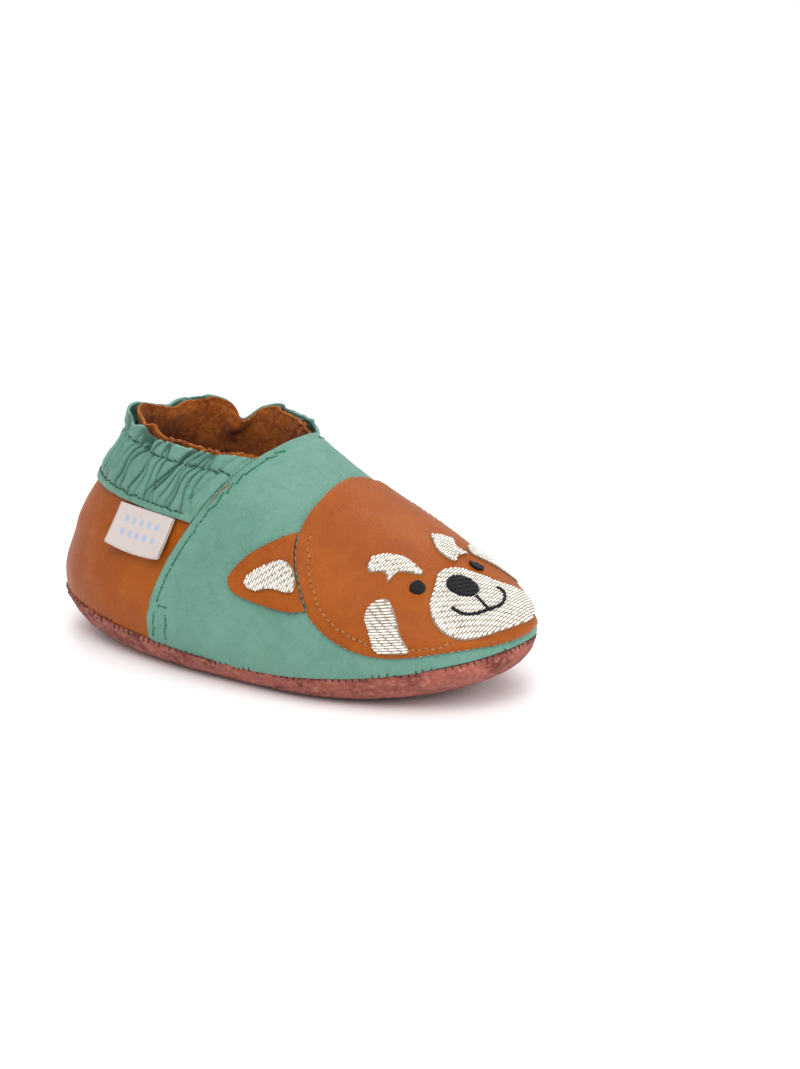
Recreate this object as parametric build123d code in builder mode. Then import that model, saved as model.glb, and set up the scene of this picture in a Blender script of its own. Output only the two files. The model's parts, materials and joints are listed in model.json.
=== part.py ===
from build123d import *
from math import copysign, cos, hypot, pi, radians, sin, tau
import os

# A soft baby bootie. The toe points to +X, the sole lies on Z = 0 and the outer side is -Y.
# Overall sizes, in millimetres
shoe_length = 133.5
shoe_width = 64.5
rim_height = 57.5

# Thicknesses
sole_thickness = 1.6
leather = 0.9
lining = 0.85
elastic_thickness = 0.75
applique_leather = 0.8
thread = 0.4
insole_thickness = 2.0
ply_gap = 0.05
moving_gap = 0.2

# Seams, collar and label
seam_at_heel = 11.5
seam_at_waist = 6.0
seam_at_toe = 15.5
seam_gap = 0.1
collar_edge_at_heel = 40.0
collar_edge_at_vamp = 37.5
quarter_tuck = 3.0
vamp_overlap = 8.0
joint_gap = 0.3
rim_drop = 4.0
elastic_width = 5.0
elastic_below_rim = 5.5
lap_gap = 1.0
label_width = 19.0
label_drop = 9.5
label_thickness = 0.9
label_stand_off = 0.6
label_gap = 1.0
label_opening = 8
label_corner = 1.2

# Stitching
stitch_length = 2.1
stitch_pitch = 3.3
stitch_width = 0.55
stitch_height = 0.4
vamp_margin = 2.4
bartack_width = 4.0
bartack_height = 8.5
face_margin = 2.3
rim_margin = 4.0
collar_edge_margin = 2.0
seam_stitch_pitch = 3.6

# The face on the vamp, drawn on a plane tilted with the toe
face_tilt = 30
face_plane_x = 35.0
face_plane_rise = 20.0
far_ear_lift = 4.0

# The foot form, level by level, in per cent of the rim height, the length and the width:
# height, heel, toe, widest place, half width at -Y and +Y, then the two ends' roundness
form_levels = [
    (0, -37.5, 28.8, 9, 38.8, 34.1, 2.6, 2.1),
    (5.2, -44.2, 39.3, 9, 48.1, 43.4, 2.6, 2.1),
    (12.2, -47.9, 45.7, 9, 51.2, 47.3, 2.6, 2.1),
    (22.6, -50.2, 49.8, 9, 51.9, 48.1, 2.6, 2.1),
    (34.8, -49.8, 48.3, 7.5, 49.6, 46.5, 2.6, 2.15),
    (48.7, -48.3, 39.7, 3, 45, 43.4, 2.5, 2.1),
    (62.6, -45.7, 28.1, -3, 39.5, 38.8, 2.3, 2.0),
    (74.8, -41.9, 16.5, -9.7, 34.9, 34.1, 2.1, 2.0),
    (87, -37.5, 6.7, -15, 31, 31, 2.0, 2.0),
    (98, -34.6, -1.0, -17.4, 29, 29, 2.0, 2.0),
    (109, -32.4, -7.4, -19, 27.5, 27.5, 2.0, 2.0),
]
toe_swing = -2.0
ring_points = 32
top_level = len(form_levels) - 1
# How far a level moves up as the form shrinks, so that the shrunk form's floor lies higher
lift_shares = {0: 1.0, 1: 0.7, 2: 0.35, 3: 0.1, top_level: 1.0}

heel_x = -0.502 * shoe_length
toe_x = 0.498 * shoe_length
label_x = -0.225 * shoe_length


def level_point(level, angle):
    """The point of one level of the form at an angle, where 0 is the toe and pi the heel."""
    height, heel, toe, widest, outer, inner, heel_power, toe_power = form_levels[level]
    ahead = cos(angle) >= 0
    reach = toe - widest if ahead else widest - heel
    power = 2 / (toe_power if ahead else heel_power)
    x = widest + reach * copysign(abs(cos(angle)) ** power, cos(angle))
    y = copysign(abs(sin(angle)) ** power, sin(angle)) * (outer if sin(angle) < 0 else inner)
    swing = toe_swing * max(0, (x - 7.5) / 41) ** 2
    return Vector(
        x * shoe_length / 100, y * shoe_width / 100 + swing, height * rim_height / 100
    )


def level_normal(level, angle):
    """The form's outward normal at a point of a level."""
    step = tau / ring_points / 4
    below, above = max(level - 1, 0), min(level + 1, top_level)
    around = level_point(level, angle + step) - level_point(level, angle - step)
    upward = level_point(above, angle) - level_point(below, angle)
    return around.cross(upward).normalized()


def form_ring(level, grow):
    """One level of the form with its surface moved outwards by grow, as points in one plane."""
    lift = -grow * lift_shares.get(level, 0)
    ring = []
    for i in range(ring_points):
        angle = pi + tau * i / ring_points
        normal = level_normal(level, angle)
        flat = hypot(normal.X, normal.Y)
        shift = (grow - normal.Z * lift) / flat
        point = level_point(level, angle)
        ring.append((point.X + normal.X / flat * shift, point.Y + normal.Y / flat * shift))
    return ring, form_levels[level][0] * rim_height / 100 + lift


forms = {}


def form(grow):
    """The foot form as a solid, with its surface moved outwards by grow."""
    if grow not in forms:
        with BuildPart() as solid:
            for level in range(len(form_levels)):
                ring, height = form_ring(level, grow)
                knots = [i / ring_points for i in range(ring_points + 1)]
                with BuildSketch(Plane.XY.offset(height)):
                    with BuildLine():
                        add(Edge.make_spline(ring, periodic=True, parameters=knots))
                    make_face()
            loft()
        forms[grow] = solid.part
    return forms[grow]


layers = {}


def layer(outside, inside):
    """The skin between two offsets of the form."""
    if (outside, inside) not in layers:
        with BuildPart() as skin:
            add(form(outside))
            add(form(inside), mode=Mode.SUBTRACT)
        layers[outside, inside] = skin.part
    return layers[outside, inside]


# Where each layer lies, from the form's surface
vamp_out, vamp_in = leather / 2, -leather / 2
under_out = vamp_in - ply_gap
under_in = under_out - leather
collar_in = under_out + moving_gap
collar_out = collar_in + leather
elastic_out = collar_in - ply_gap - 0.1
elastic_in = elastic_out - elastic_thickness
collar_lining_out = elastic_in - ply_gap
collar_lining_in = collar_lining_out - lining
face_in = vamp_out + ply_gap
face_out = face_in + applique_leather
embroidery_in = face_out + ply_gap
embroidery_out = embroidery_in + thread
raised_in = embroidery_out + ply_gap
raised_out = raised_in + thread


def seam_height(x):
    """Height of the seam between sole and upper, which rises to the heel and to the toe."""
    if x < 0:
        return seam_at_waist + (seam_at_heel - seam_at_waist) * abs(x / heel_x) ** 1.5
    return seam_at_waist + (seam_at_toe - seam_at_waist) * (x / toe_x) ** 2


def collar_edge(x):
    """Height of the collar's lower edge."""
    share = (x - heel_x) / (vamp_edge[2][0] - heel_x)
    return collar_edge_at_heel + (collar_edge_at_vamp - collar_edge_at_heel) * share


def rim(x):
    """Height of the collar's rim, a little lower towards the toe."""
    return rim_height - rim_drop * (x - 0.75 * heel_x) / (-0.75 * heel_x)


# The vamp's rear edge in the side view, from the sole to the front of the ankle opening
vamp_edge = [
    (-0.165 * shoe_length, 0),
    (-0.179 * shoe_length, 0.3 * rim_height),
    (-0.125 * shoe_length, 0.62 * rim_height),
    (-0.052 * shoe_length, 0.87 * rim_height),
    (0.02 * shoe_length, 1.03 * rim_height),
]
beyond = shoe_length
seam_stations = [heel_x - 10, 0.75 * heel_x, 0.4 * heel_x, 0, 0.4 * toe_x, 0.75 * toe_x, toe_x + 10]


def seam_line(lift):
    """The seam in the side view, raised by lift, as points from heel to toe."""
    return [(x, seam_height(x) + lift) for x in seam_stations]


def shifted(points, along):
    return [(x + along, z) for x, z in points]


def ahead_of_vamp_edge(along):
    """Side view of all that lies ahead of the vamp's edge moved by along, above the seam."""
    edge = shifted(vamp_edge, along)
    with BuildSketch(Plane.XZ) as profile:
        with BuildLine():
            Spline(*edge)
            Polyline(edge[-1], (beyond, edge[-1][1]), (beyond, edge[0][1]), edge[0])
        make_face()
    return profile.sketch


def above_seam(lift):
    """Side view of all that lies above the seam."""
    seam = seam_line(lift)
    with BuildSketch(Plane.XZ) as profile:
        with BuildLine():
            Spline(*seam)
            Polyline(seam[-1], (seam[-1][0], 2 * rim_height), (seam[0][0], 2 * rim_height), seam[0])
        make_face()
    return profile.sketch


def collar_band(low, high):
    """Side view of a band of the collar, behind the vamp's edge; low and high give heights."""
    back, front = heel_x - 10, vamp_edge[-1][0]
    with BuildSketch(Plane.XZ) as profile:
        with BuildLine():
            Polyline(
                (back, low(back)), (front, low(front)), (front, high(front)),
                (back, high(back)), close=True,
            )
        make_face()
    return profile.sketch


def side_piece(skin, *outlines, without=()):
    """The piece of a skin inside some side-view outlines and outside others."""
    with BuildPart() as piece:
        add(skin)
        for outline in outlines:
            extrude(outline, amount=shoe_width, both=True, mode=Mode.INTERSECT)
        for outline in without:
            extrude(outline, amount=shoe_width, both=True, mode=Mode.SUBTRACT)
    return piece


def closed_outline(points, plane):
    """A rounded outline through some points of a plane."""
    with BuildSketch(plane) as profile:
        with BuildLine():
            Spline(*points, periodic=True)
        make_face()
    return profile.sketch


# Sole and insole
outsole = side_piece(layer(0.0, -sole_thickness), without=(above_seam(0),))

insole_top = sole_thickness + ply_gap + insole_thickness
with BuildPart() as insole:
    add(form(-sole_thickness - ply_gap))
    split(bisect_by=Plane.XY.offset(insole_top), keep=Keep.BOTTOM)

# Upper: the heel quarter tucks under the vamp and the collar, and the lining fills the rest
quarter_top = collar_edge(vamp_edge[2][0]) + quarter_tuck
vamp = side_piece(layer(vamp_out, vamp_in), ahead_of_vamp_edge(0), above_seam(seam_gap))
heel_quarter = side_piece(
    layer(under_out, under_in),
    above_seam(seam_gap),
    collar_band(lambda x: 0, lambda x: collar_edge(x) + quarter_tuck),
    without=(ahead_of_vamp_edge(vamp_overlap),),
)
with BuildPart() as tuck:
    with BuildSketch(Plane.XZ):
        Rectangle(2 * shoe_length, 2 * (quarter_top + joint_gap))
    extrude(amount=shoe_width, both=True)
    lining_edge = ahead_of_vamp_edge(vamp_overlap + joint_gap)
    extrude(lining_edge, amount=shoe_width, both=True, mode=Mode.SUBTRACT)
vamp_lining = side_piece(
    layer(under_out, under_in), ahead_of_vamp_edge(0), above_seam(seam_gap)
)
with vamp_lining:
    add(tuck.part, mode=Mode.SUBTRACT)

# Collar: leather outside, elastic band and suede lining, all ending at the vamp's edge
collar_front = ahead_of_vamp_edge(-joint_gap)
collar_outer = side_piece(
    layer(collar_out, collar_in), collar_band(collar_edge, rim), without=(collar_front,)
)
ankle_elastic = side_piece(
    layer(elastic_out, elastic_in),
    collar_band(
        lambda x: rim(x) - elastic_below_rim - elastic_width,
        lambda x: rim(x) - elastic_below_rim,
    ),
    without=(collar_front,),
)
collar_lining = side_piece(
    layer(collar_lining_out, collar_lining_in),
    collar_band(lambda x: collar_edge(x) + quarter_tuck + lap_gap, rim),
    without=(collar_front,),
)

# The face: its edge in the side view, and its far edge on the plane tilted with the toe
face_plane = Plane(
    origin=(face_plane_x, 0, 0), x_dir=(0, 1, 0),
    z_dir=(sin(radians(face_tilt)), 0, cos(radians(face_tilt))),
).offset(face_plane_rise)
face_edge = [(14, 45), (14.6, 37), (18.6, 29.3), (24.8, 22), (33.2, 17.3), (44.1, 15.3), (56.5, 17), (66, 18)]
far_edge = [(2, 41.5), (11, 38.5), (19, 30), (23.5, 16), (21.5, 3), (15.5, -7), (8, -15)]


def face_prism(gap):
    """All that lies inside the face's edges, moved outwards by gap."""
    edge = [(x - gap, z - gap) for x, z in face_edge]
    limit = [(across + gap, along) for across, along in far_edge]
    with BuildPart() as prism:
        with BuildSketch(Plane.XZ):
            with BuildLine():
                Spline(*edge)
                Polyline(
                    edge[-1], (beyond, edge[-1][1]), (beyond, beyond), (edge[0][0], beyond), edge[0]
                )
            make_face()
        extrude(amount=shoe_width, both=True)
        with BuildSketch(face_plane):
            with BuildLine():
                Spline(*limit)
                Polyline(
                    limit[-1], (limit[-1][0], -beyond), (-beyond, -beyond), (-beyond, beyond),
                    (limit[0][0], beyond), limit[0],
                )
            make_face()
        extrude(amount=beyond, both=True, mode=Mode.INTERSECT)
    return prism.part


with BuildPart() as face_applique:
    add(layer(face_out, face_in))
    add(face_prism(0), mode=Mode.INTERSECT)

# Ears beside the face, and the embroidery on them, both drawn in the side view
ear_points = [
    (-0.5, 28.3), (3.6, 33.6), (8.5, 37), (14, 39.6), (22, 38), (28, 27), (22, 23.2), (14, 22.8),
    (5, 23.8), (0.4, 25.6),
]
ear_patch_points = [(4.6, 28.4), (8.6, 32), (15.2, 33.2), (18.4, 27.6), (12, 27.4), (6.2, 26.6)]


def on_side(skin, points, side, lift):
    """The piece of a skin inside an outline of the side view, on one side of the shoe."""
    outline = closed_outline([(x, z + lift) for x, z in points], Plane.XZ)
    with BuildPart() as piece:
        add(skin)
        extrude(outline, amount=-side * shoe_width, mode=Mode.INTERSECT)
    return piece


ears, ear_patches = {}, {}
for name, side, lift in (("right", -1, 0), ("left", 1, far_ear_lift)):
    ears[name] = on_side(layer(face_out, face_in), ear_points, side, lift)
    with ears[name]:
        add(face_prism(ply_gap), mode=Mode.SUBTRACT)
    ear_patches[name] = on_side(
        layer(embroidery_out, embroidery_in), ear_patch_points, side, lift
    )


def on_face(skin, outline):
    """The piece of a skin inside an outline drawn on the face's plane."""
    with BuildPart() as piece:
        add(skin)
        extrude(outline, amount=beyond, mode=Mode.INTERSECT)
    return piece


flat_thread = layer(embroidery_out, embroidery_in)
raised_thread = layer(raised_out, raised_in)
muzzle = on_face(flat_thread, closed_outline([
    (-7.5, 5.6), (-2.4, 3), (3.5, -3.6), (9.5, -8.2), (11.5, -11), (7.5, -15), (-1, -16.6),
    (-11, -15.2), (-19.5, -10.6), (-21, -5), (-18.5, 0), (-13, 3.4),
], face_plane))
nose = on_face(raised_thread, closed_outline(
    [(-10.9, 2), (-6.5, 2.2), (-4.3, -0.6), (-5.2, -4), (-8.6, -4.6), (-11.4, -2.2)], face_plane))
with BuildSketch(face_plane) as mouth_lines:
    with BuildLine():
        mouth_stem = Line((-7.7, -5), (-8.4, -9.9))
        Spline((-15.6, -4), (-14.6, -7.4), (-8.4, -9.9), (-1, -9.4), (1.2, -7), (0.6, -5.6))
    trace(line_width=0.7)
mouth = on_face(raised_thread, mouth_lines.sketch)
eye_points = {
    "right": [(-18.2, 5.2), (-17.2, 7.4), (-15.2, 7.2), (-15, 5), (-16.2, 3.9)],
    "left": [(1.6, 3.2), (2.4, 4.4), (4, 3.4), (4.9, 1.2), (3.6, 0.8)],
}
brow_points = {
    "right": [
        (-16.6, 19.4), (-13.4, 17), (-11.8, 13), (-13, 7.8), (-14.8, 10.4), (-17.2, 12.2),
        (-19.8, 11.8), (-18.4, 14.2), (-20.2, 17),
    ],
    "left": [
        (1.4, 16), (3.6, 15.4), (6.4, 12), (4.2, 9.6), (5.6, 7), (1.2, 7.2), (-1.8, 6.2),
        (-2.6, 11), (-0.6, 14),
    ],
}
near_cheek_points = [
    (38.4, 26.8), (40.6, 28), (43.2, 26.4), (46, 23), (48.4, 19.6), (50, 17.4), (46, 16.6),
    (42.6, 17), (40.4, 20.6), (38.4, 23.8),
]
far_cheek_points = [
    (7.5, 5.4), (9.5, 3.6), (13, -0.4), (16, -4.4), (17.6, -3), (17.4, 2), (14.6, 7.2), (9.6, 9.4),
]
cheeks = {
    "right": on_side(flat_thread, near_cheek_points, -1, 0),
    "left": on_face(flat_thread, closed_outline(far_cheek_points, face_plane)),
}
eyes, brows = {}, {}
for name in ("right", "left"):
    eyes[name] = on_face(flat_thread, closed_outline(eye_points[name], face_plane))
    brows[name] = on_face(flat_thread, closed_outline(brow_points[name], face_plane))


def skin_point(grow, start, direction):
    """Where a line from inside the form leaves it, as a point and the outward normal."""
    wall = form(grow).faces().sort_by(Axis.Z)[1:-1].sort_by(SortBy.AREA)[-1]
    ahead = [
        hit for hit in wall.find_intersection_points(Axis(start, direction))
        if (hit[0] - Vector(start)).dot(Vector(direction)) > 0
    ]
    if not ahead:
        return None
    point, normal = max(ahead, key=lambda hit: (hit[0] - Vector(start)).length)
    outward = normal if normal.dot(Vector(direction)) > 0 else -normal
    return point, outward


def from_side(grow, side):
    """A finder of skin points for places in the side view."""
    return lambda place: skin_point(grow, (place[0], 0, place[1]), (0, side, 0))


def around_ankle(grow, centre_x, height):
    """A finder of skin points for angles about an upright line, at a height that varies with x."""
    def find(angle):
        x = centre_x
        for _ in range(3):
            hit = skin_point(grow, (centre_x, 0, height(x)), (cos(angle), sin(angle), 0))
            x = hit[0].X
        return hit
    return find


def spaced(find, places, pitch):
    """Skin points a pitch apart along a row of places, each with its normal and direction."""
    hits = [hit for hit in (find(place) for place in places) if hit]
    row, travelled, due = [], 0, pitch / 2
    for (start, start_normal), (end, end_normal) in zip(hits, hits[1:]):
        run = (end - start).length
        while run and due <= travelled + run:
            share = (due - travelled) / run
            normal = (start_normal * (1 - share) + end_normal * share).normalized()
            row.append((start + (end - start) * share, normal, (end - start).normalized()))
            due += pitch
        travelled += run
    return row


def stitches(row, upright=False):
    """A run of stitches lying on the skin, along the row or upright across it."""
    with BuildPart() as run:
        places = []
        for point, normal, along in row:
            x_dir = normal.cross(along) if upright else along
            places.append(Plane(point + normal * 2 * ply_gap, x_dir=x_dir, z_dir=normal))
        with Locations(*[place.location for place in places]):
            Box(
                stitch_length, stitch_width, stitch_height,
                align=(Align.CENTER, Align.CENTER, Align.MIN),
            )
    return run


def side_curve(points, count=60):
    """Places along a spline of the side view."""
    curve = Edge.make_spline([Vector(x, z) for x, z in points])
    return [(curve.position_at(i / count).X, curve.position_at(i / count).Y) for i in range(count + 1)]


# Stitch rows of the vamp's edge, with a bartack rectangle at each foot of the row
vamp_rows = []
bartacks = {}
vamp_row_line = side_curve(shifted(vamp_edge, vamp_margin))
bartack_foot = seam_height(vamp_edge[0][0]) + 1.5
for name, side in (("right", -1), ("left", 1)):
    above_bartack = [p for p in vamp_row_line if bartack_foot + bartack_height < p[1]]
    vamp_rows += spaced(from_side(vamp_out, side), above_bartack, stitch_pitch)
    foot = [p for p in vamp_row_line if bartack_foot <= p[1] <= bartack_foot + bartack_height]
    rows = []
    for along in (0, bartack_width):
        rows += spaced(from_side(vamp_out, side), shifted(foot, along), stitch_pitch)
    left, right = foot[-1][0] + stitch_width, foot[-1][0] + bartack_width - stitch_width
    across = [(left + (right - left) * i / 8, foot[-1][1] + stitch_width) for i in range(9)]
    rows += spaced(from_side(vamp_out, side), across, right - left)
    bartacks[name] = stitches(rows)
vamp_topstitch = stitches(vamp_rows)

# Stitch rows round the collar, near the rim and near the lower edge
ankle_x = -0.165 * shoe_length
half_turn = [pi + radians(step) for step in range(-140, 141, 5)]


def collar_row(height):
    """Collar stitches at a height, stopping short of the vamp's edge."""
    row = spaced(around_ankle(collar_out, ankle_x, height), half_turn, stitch_pitch)
    front = Edge.make_spline([Vector(x, z) for x, z in shifted(vamp_edge, -stitch_length)])
    ends = {}
    for point, normal, along in row:
        level = round(point.Z, 1)
        if level not in ends:
            line = Edge.make_line((heel_x, point.Z), (beyond, point.Z))
            ends[level] = front.find_intersection_points(line)[0].X
    return [(p, n, a) for p, n, a in row if p.X < ends[round(p.Z, 1)]]


collar_top_stitch = stitches(collar_row(lambda x: rim(x) - rim_margin))
collar_bottom_stitch = stitches(collar_row(lambda x: collar_edge(x) + collar_edge_margin))

# The seam of sole and upper, sewn over the edge all round
whole_turn = [radians(step) for step in range(0, 361, 4)]
sole_seam_thread = stitches(
    spaced(around_ankle(vamp_out, 0, seam_height), whole_turn, seam_stitch_pitch), upright=True
)

# The topstitch just inside the face's edge
near_row = [(x + face_margin, z + face_margin) for x, z in face_edge[1:-1]]
face_rows = spaced(from_side(face_out, -1), side_curve(near_row), stitch_pitch)
far_row = Edge.make_spline([Vector(u - face_margin, v) for u, v in far_edge[1:-1]])
face_rows += spaced(
    lambda place: skin_point(face_out, face_plane.from_local_coords(place), face_plane.z_dir),
    [(far_row.position_at(i / 40).X, far_row.position_at(i / 40).Y, 0) for i in range(41)],
    stitch_pitch,
)
face_topstitch = stitches(face_rows)

# The folded label below the collar, hanging a little open from its rounded, sewn edge
def under_label(x, drop):
    """The skin point at a drop below the label's sewn edge, which follows the collar's edge."""
    height = collar_edge(x) - label_gap - label_thickness / 2 - drop
    return skin_point(under_out, (x, 0, height), (0, -1, 0))[0]


label_top = under_label(label_x, 0)
label_along = (under_label(label_x + label_width / 4, 0) - label_top).normalized()
label_outward = label_along.cross(label_top - under_label(label_x, label_drop)).normalized()
label_up = label_outward.cross(label_along)
stand_off = label_outward * (label_stand_off + label_thickness / 2)
label_plane = Plane(
    label_top + stand_off - label_up * (stand_off.Z / label_up.Z),
    x_dir=label_along, z_dir=label_outward,
).rotated((-label_opening, 0, 0))
with BuildPart() as label:
    with BuildSketch(label_plane):
        Rectangle(label_width, label_drop, align=(Align.CENTER, Align.MAX))
    extrude(amount=label_thickness / 2, both=True)
    corners = label.edges().filter_by(Axis(label_plane.origin, label_plane.z_dir))
    fillet(corners.sort_by(Axis.Z)[:2], radius=label_corner)
    with Locations(label_plane):
        Cylinder(label_thickness / 2, label_width, rotation=(0, 90, 0))

pieces = {
    "outsole": outsole,
    "insole": insole,
    "vamp": vamp,
    "vamp_lining": vamp_lining,
    "heel_quarter": heel_quarter,
    "collar_outer": collar_outer,
    "ankle_elastic": ankle_elastic,
    "collar_lining": collar_lining,
    "face_applique": face_applique,
    "muzzle": muzzle,
    "nose": nose,
    "mouth": mouth,
    "vamp_topstitch": vamp_topstitch,
    "collar_top_stitch": collar_top_stitch,
    "collar_bottom_stitch": collar_bottom_stitch,
    "sole_seam_thread": sole_seam_thread,
    "face_topstitch": face_topstitch,
    "label": label,
}
for side in ("right", "left"):
    pieces[f"ear_{side}"] = ears[side]
    pieces[f"ear_embroidery_{side}"] = ear_patches[side]
    pieces[f"eye_{side}"] = eyes[side]
    pieces[f"brow_{side}"] = brows[side]
    pieces[f"cheek_{side}"] = cheeks[side]
    pieces[f"bartack_{side}"] = bartacks[side]

os.makedirs("parts", exist_ok=True)
for name, piece in pieces.items():
    piece.part.label = name
    export_step(piece.part, f"parts/{name}.step")
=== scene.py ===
import json
import math

import bmesh
import bpy
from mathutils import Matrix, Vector, noise
from mathutils.bvhtree import BVHTree
from mathutils.kdtree import KDTree


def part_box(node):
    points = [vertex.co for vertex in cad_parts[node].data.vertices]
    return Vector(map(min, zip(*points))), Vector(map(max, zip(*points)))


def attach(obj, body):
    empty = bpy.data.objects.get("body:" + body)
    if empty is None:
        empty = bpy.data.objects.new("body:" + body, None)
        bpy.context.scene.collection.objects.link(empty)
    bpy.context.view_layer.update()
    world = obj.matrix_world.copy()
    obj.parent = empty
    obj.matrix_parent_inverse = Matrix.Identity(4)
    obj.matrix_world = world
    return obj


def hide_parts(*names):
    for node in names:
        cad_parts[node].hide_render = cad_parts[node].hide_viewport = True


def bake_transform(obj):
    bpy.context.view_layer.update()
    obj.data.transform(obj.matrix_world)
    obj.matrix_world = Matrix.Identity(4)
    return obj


# A soft baby bootie: green and tan leather, suede sole, gathered ankle collar, animal face.
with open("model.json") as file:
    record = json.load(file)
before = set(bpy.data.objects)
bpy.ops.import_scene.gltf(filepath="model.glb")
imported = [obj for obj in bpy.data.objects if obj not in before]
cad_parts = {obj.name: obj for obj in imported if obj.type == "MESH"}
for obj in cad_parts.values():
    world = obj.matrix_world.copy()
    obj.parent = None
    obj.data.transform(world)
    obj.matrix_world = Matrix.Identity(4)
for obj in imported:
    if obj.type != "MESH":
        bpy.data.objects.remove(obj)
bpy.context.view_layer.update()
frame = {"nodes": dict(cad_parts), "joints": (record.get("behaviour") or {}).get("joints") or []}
nodes = frame["nodes"]
mm = 0.001
rayStart = 0.15  # search rays start this far outside the point they aim at
cutEdge = 0.25 * mm  # rounding of a cut edge
print("frame loaded")


# Reading the fixed frame: rays come from outside, so they meet a part's outer side
def treeFromObjects(*pieces):
    points, faces = [], []
    for piece in pieces:
        start = len(points)
        points += [v.co.copy() for v in piece.data.vertices]
        faces += [[start + i for i in face.vertices] for face in piece.data.polygons]
    return BVHTree.FromPolygons(points, faces)


def searchTree(*names):
    return treeFromObjects(*(nodes[name] for name in names))


def outerHit(tree, inside, direction):
    point, normal, _, _ = tree.ray_cast(inside + direction * rayStart, -direction, rayStart)
    if point is None:
        return None
    return point, normal if normal.dot(direction) > 0 else -normal


def smoothStep(value, low, high):
    share = min(1, max(0, (value - low) / (high - low)))
    return share * share * (3 - 2 * share)


# A fan covers a part from a point inside it: spokes run from an axis out to the part's edge
def fanGrid(tree, centre, axis, side, spokes, rings, widest=125):
    centre, axis, side = Vector(centre), Vector(axis).normalized(), Vector(side)
    side = (side - axis * side.dot(axis)).normalized()
    other = axis.cross(side)
    grid = []
    for spoke in range(spokes):
        turn = math.tau * spoke / spokes
        flat = side * math.cos(turn) + other * math.sin(turn)

        def ray(tilt):
            return outerHit(tree, centre, axis * math.cos(tilt) + flat * math.sin(tilt))

        step, inner = math.radians(1.5), 0
        while inner < math.radians(widest) and ray(inner + step):
            inner += step
        outer = inner + step
        for _ in range(12):
            middle = (inner + outer) / 2
            inner, outer = (middle, outer) if ray(middle) else (inner, middle)
        grid.append([ray(inner * ring / rings) for ring in range(rings + 1)])
    return grid  # grid[spoke][ring] is a point and its outward normal


# A band runs round the ankle: columns by angle, rows between two heights that vary with x
upperSkin = searchTree("vamp", "heel_quarter", "collar_outer")


def bandHit(tree, middle, angle, height):
    direction = Vector((math.cos(angle), math.sin(angle), 0))
    x = middle.x
    for _ in range(6):
        guide = outerHit(upperSkin, Vector((middle.x, middle.y, height(x))), direction)
        x = guide[0].x if guide else x + direction.x * 8 * mm
    return outerHit(tree, Vector((middle.x, middle.y, height(x))), direction)


def bandEnd(tree, middle, height, sign):
    inner, step = math.pi, math.radians(3) * sign
    while abs(inner - math.pi) < 3 and bandHit(tree, middle, inner + step, height):
        inner += step
    outer = inner + step
    for _ in range(12):
        half = (inner + outer) / 2
        inner, outer = (half, outer) if bandHit(tree, middle, half, height) else (inner, half)
    return inner


def meshObject(name, points, faces, material):
    mesh = bpy.data.meshes.new(name)
    mesh.from_pydata([tuple(p) for p in points], [], faces)
    mesh.validate()
    mesh.polygons.foreach_set("use_smooth", [True] * len(mesh.polygons))
    piece = bpy.data.objects.new(name, mesh)
    bpy.context.scene.collection.objects.link(piece)
    mesh.materials.append(material)
    return piece


def frozen(piece):
    result = bpy.data.meshes.new_from_object(
        piece.evaluated_get(bpy.context.evaluated_depsgraph_get())
    )
    piece.modifiers.clear()
    piece.data = result
    return piece


def thickened(piece, thickness, inside=None):
    solid = piece.modifiers.new("wall", "SOLIDIFY")
    if inside:  # the flesh side of the leather
        piece.data.materials.append(inside)
        solid.material_offset = 1
    solid.thickness = thickness
    solid.offset = -1
    solid.use_even_offset = False
    bevel = piece.modifiers.new("edge", "BEVEL")
    bevel.width = cutEdge
    bevel.segments = 2
    bevel.angle_limit = math.radians(50)
    frozen(piece)
    piece.data.polygons.foreach_set("use_smooth", [True] * len(piece.data.polygons))
    return piece


# A leather piece over a fan grid; shape moves a point out by a length, marks are attributes
def fanPiece(name, grid, shape, thickness, material, inside=None, **marks):
    rings = len(grid[0])
    points = [grid[0][0][0] + grid[0][0][1] * shape(grid[0][0][0], 0, 0)]
    for spoke, ray in enumerate(grid):
        for ring in range(1, rings):
            point, normal = ray[ring]
            points.append(point + normal * shape(point, ring / (rings - 1), spoke / len(grid)))
    faces = []
    spokes, lap = len(grid), rings - 1
    for spoke in range(spokes):
        near, far = 1 + spoke * lap, 1 + (spoke + 1) % spokes * lap
        faces.append((0, near, far))
        faces += [(near + r, near + r + 1, far + r + 1, far + r) for r in range(lap - 1)]
    piece = meshObject(name, points, faces, material)
    for mark, value in marks.items():
        marked(piece, mark, [value(point) for point in points])
    facing(piece, grid[0][0][1])
    return thickened(piece, thickness, inside=inside)


def marked(piece, name, values):
    piece.data.attributes.new(name, "FLOAT", "POINT").data.foreach_set("value", values)


def facing(piece, outward):
    first = piece.data.polygons[0]
    if first.normal.dot(outward) < 0:
        piece.data.flip_normals()


def gridFaces(rows, columns):
    return [(r * columns + c, r * columns + c + 1, (r + 1) * columns + c + 1,
             (r + 1) * columns + c) for r in range(rows - 1) for c in range(columns - 1)]


# A piece over a band grid of finished points, rows from low to high
def bandPiece(name, rows, thickness, material, creases=None):
    points = [point for row in rows for point in row]
    faces = gridFaces(len(rows), len(rows[0]))
    piece = meshObject(name, points, faces, material)
    # creases are painted shade for the folds, kept as a point attribute
    if creases:
        marked(piece, "foldShade", creases)
    middle = piece.data.polygons[len(faces) // 2]
    facing(piece, Vector((middle.center.x + 0.025, middle.center.y, 0)))
    return thickened(piece, thickness)


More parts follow.
